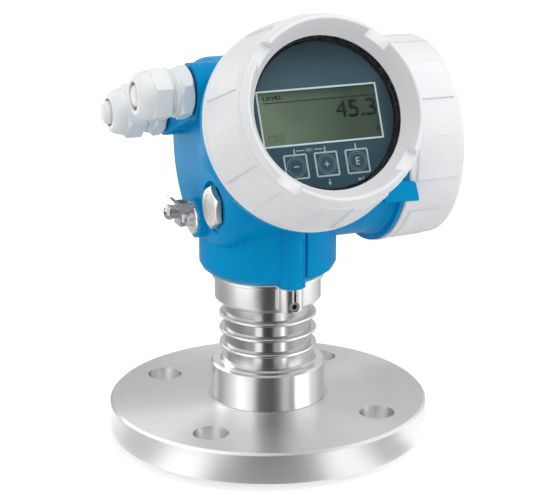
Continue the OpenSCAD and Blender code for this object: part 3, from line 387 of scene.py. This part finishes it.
def finished(name, mesh, material, body, where):
    """A new piece of the transmitter from a bmesh, placed by its mesh and riding on a body."""
    bmesh.ops.transform(mesh, matrix=where, verts=mesh.verts)
    bmesh.ops.remove_doubles(mesh, verts=mesh.verts, dist=1e-7)
    bmesh.ops.recalc_face_normals(mesh, faces=mesh.faces)
    piece = made_object(name, mesh, material)
    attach(piece, body)


def raise_faces(mesh, faces, thickness):
    """Flat faces drawn up into a layer."""
    raised = bmesh.ops.extrude_face_region(mesh, geom=faces)
    top = [v for v in raised["geom"] if isinstance(v, bmesh.types.BMVert)]
    bmesh.ops.translate(mesh, verts=top, vec=(0, 0, thickness))


def line_round(mesh, face, width, thickness):
    """A flat face made into a raised line of one width along its edge."""
    mesh.normal_update()
    line = bmesh.ops.inset_region(mesh, faces=[face], thickness=width, use_boundary=True,
                                  use_even_offset=True)
    bmesh.ops.delete(mesh, geom=[face], context="FACES")
    raise_faces(mesh, line["faces"], thickness)


def plate(mesh, outline, low, thickness):
    """A flat plate from its outline in order, upwards from a height."""
    face = mesh.faces.new([mesh.verts.new((x, y, low)) for x, y in outline])
    raise_faces(mesh, [face], thickness)


def bar(mesh, x0, y0, x1, y1, low, thickness):
    plate(mesh, ((x0, y0), (x1, y0), (x1, y1), (x0, y1)), low, thickness)


def frame_line(mesh, x0, y0, x1, y1, width, low, thickness, corner=0.0):
    """A printed rectangle of one line width, with rounded corners where corner is set."""
    corners = ((x0, y0), (x1, y0), (x1, y1), (x0, y1))
    if corner:
        corners = []
        for cx, cy, start in ((x1 - corner, y0 + corner, -90), (x1 - corner, y1 - corner, 0),
                              (x0 + corner, y1 - corner, 90), (x0 + corner, y0 + corner, 180)):
            for step in range(CORNER_STEPS + 1):
                turn = math.radians(start + 90 * step / CORNER_STEPS)
                corners.append((cx + corner * math.cos(turn), cy + corner * math.sin(turn)))
    face = mesh.faces.new([mesh.verts.new((x, y, low)) for x, y in corners])
    line_round(mesh, face, width, thickness)


def circle_line(mesh, x, y, radius, width, low, thickness):
    """A printed circle of one line width."""
    disc = bmesh.ops.create_circle(mesh, cap_ends=True, segments=40, radius=radius,
                                   matrix=Matrix.Translation((x, y, low)))
    line_round(mesh, disc["verts"][0].link_faces[0], width, thickness)


def lettering(words, x0, y0, x1, y1, low, thickness, weight=0.0):
    """A bmesh of figures or a word, stretched into a rectangle and given a thickness.

    The weight is the extra breadth of the strokes. It fills the eye of a 4, which does without.
    """
    curve = bpy.data.curves.new("lettering", "FONT")
    curve.body = words
    curve.offset = weight
    curve.resolution_u = 6
    holder = bpy.data.objects.new("lettering", curve)
    bpy.context.scene.collection.objects.link(holder)
    graph = bpy.context.evaluated_depsgraph_get()
    data = bpy.data.meshes.new_from_object(holder.evaluated_get(graph))
    bpy.data.objects.remove(holder)
    mesh = bmesh.new()
    mesh.from_mesh(data)
    bpy.data.meshes.remove(data)
    bmesh.ops.remove_doubles(mesh, verts=mesh.verts, dist=1e-5)
    xs = [v.co.x for v in mesh.verts]
    ys = [v.co.y for v in mesh.verts]
    wide = (x1 - x0) / (max(xs) - min(xs))
    tall = (y1 - y0) / (max(ys) - min(ys))
    for v in mesh.verts:
        v.co = (x0 + (v.co.x - min(xs)) * wide, y0 + (v.co.y - min(ys)) * tall, low)
    raise_faces(mesh, mesh.faces[:], thickness)
    return mesh


def printing_ink(name, colour, rough):
    """Screen-printed ink with a slightly uneven coat."""
    r = Recipe(name)
    coat = r.noise(900, 3)
    return r.set(Base_Color=r.mix(r.range(coat, 0, 1, 0.3, 0.7), shade(colour, 0.86), colour),
                 Roughness=r.range(coat, rough - 0.06, rough + 0.06), Specular_IOR_Level=0.1)


pale_ink = printing_ink("pale_ink", (0.62, 0.70, 0.70), 0.5)
key_ink = printing_ink("key_ink", (0.40, 0.47, 0.48), 0.5)
grey_ink = printing_ink("grey_ink", (0.16, 0.22, 0.24), 0.5)
lcd_ink = printing_ink("lcd_ink", (0.0, 0.006, 0.005), 0.6)
lcd_faint_ink = printing_ink("lcd_faint_ink", (0.055, 0.075, 0.045), 0.6)


# ---------- printing on the display ----------
# In millimetres from the middle of the display: across, up and out of its face.

CORNER_STEPS = 4
INK = 0.12  # thickness of a printed layer
LINE = 0.75
PRINT = DISPLAY @ Matrix.Scale(MM, 4)
KEY_PRINT = PRINT @ Matrix.Translation((-0.7, 0, 0))

face_out = span("display_module", DISPLAY, 2)[1] / MM
lcd_left = span("lcd_panel", DISPLAY, 0)[0] / MM
lcd_low, lcd_high = (reach / MM for reach in span("lcd_panel", DISPLAY, 1))
lcd_out = span("lcd_panel", DISPLAY, 2)[1] / MM
ON_LCD = (lcd_out, INK)
ON_FACE = (face_out, INK)

window_frame = bmesh.new()
frame_line(window_frame, lcd_left - 0.5, lcd_low - 0.5, OUTLINE_RIGHT, lcd_high + 0.5, LINE,
           face_out, 2 * INK, 0.5)
finished("window_outline", window_frame, pale_ink, "display", PRINT)

tens = lettering("4", 5.9, -2.2, 11.8, 6.1, *ON_LCD)
finished("level_tens", tens, lcd_ink, "display", PRINT)
reading = lettering("5.3", 12.5, -2.3, 26.7, 6.1, *ON_LCD, 0.01)
finished("level_reading", reading, lcd_ink, "display", PRINT)

header = lettering("LEVEL", -29.4, 8.7, -19.4, 10.7, *ON_LCD, 0.01)
bar(header, -30.0, 7.3, 28.0, 7.7, *ON_LCD)
finished("display_header", header, lcd_ink, "display", PRINT)

signs = bmesh.new()
frame_line(signs, -29.6, -10.7, -26.0, -7.8, 0.35, *ON_LCD)
circle_line(signs, -23.3, -9.2, 1.9, 0.35, *ON_LCD)
bar(signs, -23.5, -9.5, -23.1, -8.2, *ON_LCD)
bar(signs, -23.5, -10.3, -23.1, -9.9, *ON_LCD)
finished("status_signs", signs, lcd_faint_ink, "display", PRINT)

marker = bmesh.new()
bar(marker, 25.3, -9.7, 26.6, -8.3, *ON_LCD)
bar(marker, 25.5, -8.3, 25.9, -7.4, *ON_LCD)
bar(marker, 25.9, -7.6, 26.4, -7.4, *ON_LCD)
finished("lock_sign", marker, lcd_ink, "display", PRINT)

KEY_Y = -23.2
KEY_HALF = 5.9
KEY_TOP = KEY_Y + KEY_HALF
KEYS = (-17.3, -1.95, 13.65)
TOUCH_RINGS = ((4.7, 0.3), (3.7, 0.2))
outlines, signs, fields = bmesh.new(), bmesh.new(), bmesh.new()
for key_x in KEYS:
    frame_line(outlines, key_x - KEY_HALF, KEY_Y - KEY_HALF, key_x + KEY_HALF, KEY_TOP, LINE,
               *ON_FACE, 0.9)
    bar(outlines, key_x - 0.3, KEY_TOP, key_x + 0.3, -14.8, *ON_FACE)
    for radius, width in TOUCH_RINGS:
        circle_line(fields, key_x, KEY_Y, radius, width, face_out, INK / 2)
for x0, x1 in ((-16.4, -12.0), (-7.2, -3.0)):
    bar(outlines, x0, -16.0, x1, -15.6, *ON_FACE)
finished("key_outlines", outlines, key_ink, "display", KEY_PRINT)
finished("key_touch_rings", fields, grey_ink, "display", KEY_PRINT)

bar(signs, -18.6, -23.4, -16.0, -22.95, *ON_FACE)  # minus
bar(signs, -3.2, -23.4, -0.7, -22.95, *ON_FACE)  # plus
for y0, y1 in ((-22.95, -21.95), (-24.4, -23.4)):
    bar(signs, -2.17, y0, -1.73, y1, *ON_FACE)
bar(signs, 12.9, -24.9, 13.4, -21.4, *ON_FACE)  # E
for y0 in (-24.9, -23.4, -21.85):
    bar(signs, 13.4, y0, 14.6, y0 + 0.45, *ON_FACE)
finished("key_signs", signs, key_ink, "display", KEY_PRINT)

arrows = lettering("ESC", -11.2, -16.5, -7.9, -15.1, *ON_FACE)
bar(arrows, -2.15, -32.0, -1.75, -30.4, *ON_FACE)  # arrow down
plate(arrows, ((-1.95, -33.2), (-0.95, -31.9), (-2.95, -31.9)), *ON_FACE)
bar(arrows, 13.6, -32.0, 15.4, -31.6, *ON_FACE)  # arrow back
bar(arrows, 15.0, -31.6, 15.4, -30.7, *ON_FACE)
plate(arrows, ((12.2, -31.8), (13.6, -32.6), (13.6, -31.0)), *ON_FACE)
bar(arrows, -17.1, -30.9, -16.4, -30.2, *ON_FACE)  # dot
finished("key_arrows", arrows, key_ink, "display", KEY_PRINT)


# ---------- threads of the cable glands ----------

def thread_rings(start, end, radius, pitch, height):
    """Ridges of an outside thread between two heights, as one revolved profile."""
    mesh = bmesh.new()
    count = int((end - start) / pitch)
    points = [(radius - height, start)]
    for i in range(count):
        low = start + i * pitch
        points += [(radius, low + 0.15 * pitch), (radius + height, low + 0.4 * pitch),
                   (radius + height, low + 0.6 * pitch), (radius, low + 0.85 * pitch)]
    points.append((radius - height, start + count * pitch))
    verts = [mesh.verts.new((x, 0, z)) for x, z in points]
    edges = [mesh.edges.new(pair) for pair in zip(verts, verts[1:] + verts[:1])]
    bmesh.ops.spin(mesh, geom=verts + edges, cent=(0, 0, 0), axis=(0, 0, 1),
                   angle=2 * math.pi, steps=64, use_merge=True)
    return mesh


THREAD_RADIUS = 10.9 * MM
THREAD_PITCH = 1.1 * MM
THREAD_HEIGHT = 0.45 * MM
for side, along in GLANDS.items():
    nut_foot = span(f"gland_{side}_nut", along, 2)[0]
    rings = thread_rings(nut_foot - 3.4 * MM, nut_foot - 0.1 * MM, THREAD_RADIUS, THREAD_PITCH,
                         THREAD_HEIGHT)
    finished(f"gland_{side}_thread", rings, FINISHES["gland_plastic"], "head", along)


# ---------- studio ----------

CAMERA_PLACE = Vector((-0.3353, -0.8298, 0.3672))
CAMERA_AIM = Vector((0.3652, 0.8857, -0.2867))


def add_camera():
    data = bpy.data.cameras.new("camera")
    data.lens = 117
    data.sensor_width = 36
    data.clip_start = 0.05
    data.clip_end = 50
    camera = bpy.data.objects.new("camera", data)
    bpy.context.scene.collection.objects.link(camera)
    camera.location = CAMERA_PLACE
    camera.rotation_mode = "QUATERNION"
    camera.rotation_quaternion = CAMERA_AIM.to_track_quat("-Z", "Y")
    bpy.context.scene.camera = camera


def soft_lamp(name, place, aim, size, power):
    data = bpy.data.lights.new(name, "AREA")
    data.shape = "RECTANGLE"
    data.size, data.size_y = size, size
    data.energy = power
    lamp = bpy.data.objects.new(name, data)
    bpy.context.scene.collection.objects.link(lamp)
    lamp.location = place
    lamp.rotation_mode = "QUATERNION"
    lamp.rotation_quaternion = (Vector(aim) - Vector(place)).to_track_quat("-Z", "Y")


def seen_directly(tree):
    """1 for rays from the camera and for those that gloss or glass sends on, otherwise 0."""
    path = tree.nodes.new("ShaderNodeLightPath")
    seen = path.outputs["Is Camera Ray"]
    for kind in ("Is Glossy Ray", "Is Transmission Ray"):
        either = tree.nodes.new("ShaderNodeMath")
        either.operation = "MAXIMUM"
        tree.links.new(seen, either.inputs[0])
        tree.links.new(path.outputs[kind], either.inputs[1])
        seen = either.outputs[0]
    return seen


def white_world():
    world = bpy.data.worlds.new("world")
    bpy.context.scene.world = world
    world.use_nodes = True
    tree = world.node_tree
    tree.nodes.clear()
    strength = tree.nodes.new("ShaderNodeMapRange")
    strength.inputs["To Min"].default_value = 0.55
    strength.inputs["To Max"].default_value = 1.0
    tree.links.new(seen_directly(tree), strength.inputs["Value"])
    background = tree.nodes.new("ShaderNodeBackground")
    background.inputs["Color"].default_value = (1, 1, 1, 1)
    tree.links.new(strength.outputs[0], background.inputs["Strength"])
    out = tree.nodes.new("ShaderNodeOutputWorld")
    tree.links.new(background.outputs[0], out.inputs["Surface"])


def stage_piece(name, mesh, material):
    piece = made_object(name, mesh, material)
    return piece


def reflections_only(piece):
    piece.visible_camera = False
    piece.visible_diffuse = False
    piece.visible_shadow = False
    piece.visible_transmission = False
    piece.visible_volume_scatter = False


def pale_floor():
    """Pale floor that takes the object's shadow and brightens to white away from it."""
    mesh = bmesh.new()
    bmesh.ops.create_grid(mesh, x_segments=1, y_segments=1, size=6)
    bmesh.ops.translate(mesh, verts=mesh.verts, vec=(0, 0, FLOOR_HEIGHT))
    r = Recipe("floor")
    away, _, _ = r.round_place(*UPRIGHT)
    # The floor's glow is painted light: weaker close to the object, full white further out.
    shine = r.range(away, 0.4, 1.0, 0.3, 1.0)
    r.set(Base_Color=(0.8, 0.8, 0.8, 1), Roughness=0.9, Specular_IOR_Level=0.0,
          Emission_Color=(1, 1, 1, 1),
          Emission_Strength=r.sum("MULTIPLY", seen_directly(r.tree), shine))
    stage_piece("floor", mesh, r.material)


# Steel shows dark and light strips only where something dark and light stands round it. A round
# tent with a floor and a wall, and two ring cards, stand there for reflections alone.
FLOOR_HEIGHT = -0.6 * MM
TENT_FLOOR = -0.4 * MM
TENT_START = 0.088
TENT_RADIUS = 0.21
TENT_HEIGHT = 0.42
HEAD_CARD = (0.0302, 0.0695, 0.087)  # inner and outer radius, height
BOSS_CARD = (0.0301, 0.0878, 0.0205)
BOSS_RADIUS = 29.7 * MM
CARD_FADE = (112, 140)  # degrees from the front over which the boss's card fades out

# Brightness by degrees to the right of the front. On the tent's floor close in,
TENT_CLOSE = (
    (-180, 0.8), (-135, 1.0), (-110, 1.2), (-85, 0.9), (-64, 0.66), (-50, 0.95), (-38, 1.3),
    (-27, 0.95), (-17, 0.45), (-8, 0.34), (0, 0.32), (10, 0.34), (19, 0.5), (28, 1.0), (36, 1.15),
    (48, 0.85), (60, 0.56), (70, 0.85), (80, 1.2), (110, 1.0), (145, 0.8), (180, 0.8))
# further out, where the neck sees it,
TENT_FAR = (
    (-180, 0.5), (-140, 0.4), (-110, 0.35), (-90, 0.3), (-70, 0.25), (-55, 0.35), (-42, 0.36),
    (-32, 0.72), (-23, 1.35), (-15, 0.85), (-9, 0.12), (0, 0.06), (9, 0.07), (17, 0.42),
    (26, 0.48), (33, 1.0), (38, 1.7), (43, 1.0), (49, 0.5), (57, 0.42), (68, 0.58), (80, 0.6),
    (91, 0.6), (120, 0.6), (150, 0.5), (180, 0.5))
# on the foot of its wall,
WALL_FOOT = (
    (-180, 0.7), (-158, 0.55), (-134, 0.46), (-112, 0.42), (-79, 0.68), (-52, 1.05), (-38, 0.95),
    (-29, 0.6), (-20, 0.2), (-10, 0.11), (0, 0.08), (12, 0.1), (20, 0.48), (30, 1.15), (42, 1.0),
    (52, 0.64), (62, 0.34), (72, 0.64), (90, 1.1), (112, 0.9), (129, 0.72), (150, 0.5),
    (180, 0.7))
# half-way up
WALL_MIDDLE = (
    (-180, 0.7), (-158, 0.4), (-132, 0.45), (-107, 0.5), (-77, 1.0), (-53, 2.0), (-40, 2.0),
    (-31, 1.7), (-21, 0.8), (-10, 0.1), (0, 0.02), (10, 0.02), (21, 0.1), (31, 0.5), (42, 0.8),
    (53, 1.3), (64, 2.0), (80, 2.0), (92, 1.95), (107, 1.1), (119, 0.82), (158, 0.5), (180, 0.7))
# and above that, where the flange sees it.
WALL_TOP = (
    (-180, 0.7), (-155, 0.7), (-140, 0.85), (-128, 1.6), (-118, 1.95), (-96, 1.4), (-74, 1.1),
    (-46, 1.2), (-30, 0.9), (-18, 0.3), (0, 0.1), (14, 0.1), (30, 0.3), (50, 0.6), (62, 0.9),
    (90, 0.9), (120, 0.75), (150, 0.65), (180, 0.7))
# On the card round the boss:
BOSS_STRIPS = (
    (-180, 0.32), (-150, 0.3), (-132, 0.26), (-111, 0.42), (-95, 0.6), (-81, 0.8), (-68, 1.05),
    (-56, 1.25), (-45, 1.12), (-35, 0.92), (-24, 0.45), (-14, 0.17), (-4, 0.13), (6, 0.11),
    (16, 0.16), (26, 0.34), (37, 0.55), (49, 0.42), (56, 1.1), (64, 1.4), (84, 1.3), (98, 0.82),
    (115, 0.68), (137, 0.42), (158, 0.35), (180, 0.32))
# Where one table goes over into the next: distance out on the floor, then heights on the wall.
TENT_SEAMS = ((0.135, 0.15), (0.002, 0.006), (0.03, 0.045), (0.075, 0.09))
TABLE_TOP = 2.0  # the tables' curves run from 0 to 1, which stands for this brightness


def bare_recipe(name):
    """A recipe without the usual shader, for what only gives light."""
    r = Recipe(name)
    r.tree.nodes.clear()
    r.place = r.node("ShaderNodeTexCoord").outputs["Object"]
    return r


def turn_from_front(r):
    """Angle about the object's axis, to the right of the side that the camera looks at."""
    x, y, _ = r.parts(r.place)
    front = math.atan2(CAMERA_PLACE.x, -CAMERA_PLACE.y)
    along = r.sum("ADD", r.sum("MULTIPLY", x, math.sin(front)),
                  r.sum("MULTIPLY", y, -math.cos(front)))
    across = r.sum("ADD", r.sum("MULTIPLY", x, math.cos(front)),
                   r.sum("MULTIPLY", y, math.sin(front)))
    return r.sum("ARCTAN2", across, along)


def mirrored_turn(r, turn, mirror):
    """The direction in which a round mirror of this radius shows a place to the front.

    A ray from the front that goes on in the direction d meets the mirror at the angle d / 2, so
    d = turn + asin(mirror / distance * sin(d / 2)). A few rounds settle it.
    """
    away, _, _ = r.round_place(*UPRIGHT)
    lean = r.sum("DIVIDE", mirror, away)
    seen = turn
    for _ in range(5):
        half = r.sum("SINE", r.sum("MULTIPLY", seen, 0.5))
        seen = r.sum("ADD", turn, r.sum("ARCSINE", r.sum("MULTIPLY", lean, half)))
    return seen


def table_level(r, turn, table):
    """Brightness that a table gives at an angle, as a share of TABLE_TOP."""
    level = r.node("ShaderNodeFloatCurve")
    curve = level.mapping.curves[0]
    while len(curve.points) < len(table):
        curve.points.new(0.5, 0.5)
    for point, (degrees, value) in zip(curve.points, table):
        point.location = ((degrees + 180) / 360, value / TABLE_TOP)
        point.handle_type = "AUTO_CLAMPED"
    level.mapping.update()
    r.feed(level.inputs["Value"], r.range(turn, 0.0, 1.0, -math.pi, math.pi))
    return level.outputs[0]


def emission(r, strength):
    made = r.node("ShaderNodeEmission")
    r.feed(made.inputs["Strength"], strength)
    return made.outputs[0]


def ring_card(inner, outer, height):
    """A flat ring about the object's axis that faces up."""
    mesh = bmesh.new()
    bmesh.ops.create_circle(mesh, cap_ends=False, segments=96, radius=inner)
    wide = bmesh.ops.extrude_edge_only(mesh, edges=mesh.edges[:])
    rim = [v for v in wide["geom"] if isinstance(v, bmesh.types.BMVert)]
    bmesh.ops.scale(mesh, vec=(outer / inner, outer / inner, 1), verts=rim)
    bmesh.ops.translate(mesh, verts=mesh.verts, vec=(0, 0, height))
    mesh.normal_update()
    bmesh.ops.reverse_faces(mesh, faces=[f for f in mesh.faces if f.normal.z < 0])
    return mesh


def light_tent():
    """The round tent: its floor is a ring, and its wall stands on the ring's outer edge."""
    mesh = ring_card(TENT_START, TENT_RADIUS, TENT_FLOOR)
    middle = (TENT_START + TENT_RADIUS) / 2
    outer = [e for e in mesh.edges if min(v.co.to_2d().length for v in e.verts) > middle]
    wall = bmesh.ops.extrude_edge_only(mesh, edges=outer)
    top = [v for v in wall["geom"] if isinstance(v, bmesh.types.BMVert)]
    bmesh.ops.translate(mesh, verts=top, vec=(0, 0, TENT_HEIGHT))
    r = bare_recipe("light_tent")
    x, y, z = r.parts(r.place)
    away = r.sum("SQRT", r.sum("ADD", r.sum("MULTIPLY", x, x), r.sum("MULTIPLY", y, y)))
    turn = turn_from_front(r)
    level = table_level(r, turn, TENT_CLOSE)
    for measure, (start, end), table in zip((away, z, z, z), TENT_SEAMS,
                                            (TENT_FAR, WALL_FOOT, WALL_MIDDLE, WALL_TOP)):
        further = r.sum("SUBTRACT", table_level(r, turn, table), level)
        level = r.sum("MULTIPLY_ADD", further, r.range(measure, 0.0, 1.0, start, end), level)
    shine = emission(r, r.sum("MULTIPLY", level, TABLE_TOP))
    r.feed(r.node("ShaderNodeOutputMaterial").inputs["Surface"], shine)
    reflections_only(stage_piece("light_tent", mesh, r.material))


def head_card():
    """A grey card under the head that keeps its blue off the steel."""
    r = bare_recipe("head_card")
    r.feed(r.node("ShaderNodeOutputMaterial").inputs["Surface"], emission(r, 0.5))
    reflections_only(stage_piece("head_card", ring_card(*HEAD_CARD), r.material))


def boss_card():
    """Strips of light round the front of the boss, which only its wall reflects.

    From below the card is clear, so that the flange doesn't see it.
    """
    r = bare_recipe("boss_card")
    turn = mirrored_turn(r, turn_from_front(r), BOSS_RADIUS)
    shine = emission(r, r.sum("MULTIPLY", table_level(r, turn, BOSS_STRIPS), TABLE_TOP))
    fade_start, fade_end = (math.radians(degrees) for degrees in CARD_FADE)
    behind = r.range(r.sum("ABSOLUTE", turn), 0, 1, fade_start, fade_end)
    below = r.node("ShaderNodeNewGeometry").outputs["Backfacing"]
    mix = r.node("ShaderNodeMixShader")
    r.feed(mix.inputs[0], r.sum("MAXIMUM", below, behind))
    r.feed(mix.inputs[1], shine)
    r.feed(mix.inputs[2], r.node("ShaderNodeBsdfTransparent").outputs[0])
    r.feed(r.node("ShaderNodeOutputMaterial").inputs["Surface"], mix.outputs[0])
    reflections_only(stage_piece("boss_card", ring_card(*BOSS_CARD), r.material))


add_camera()
head_card()
boss_card()
soft_lamp("key", (-1.0, -1.1, 1.2), (0, 0, 0.12), 1.1, 6.3)
soft_lamp("fill", (1.3, -0.9, 0.7), (0, 0, 0.12), 1.2, 8.5)
soft_lamp("side", (-1.4, 0.8, 0.35), (0, 0, 0.15), 1.0, 4.6)
soft_lamp("top", (0.3, -0.3, 1.6), (0, 0, 0.1), 1.4, 8.0)
white_world()
pale_floor()
light_tent()

bpy.context.scene.view_settings.view_transform = "Standard"
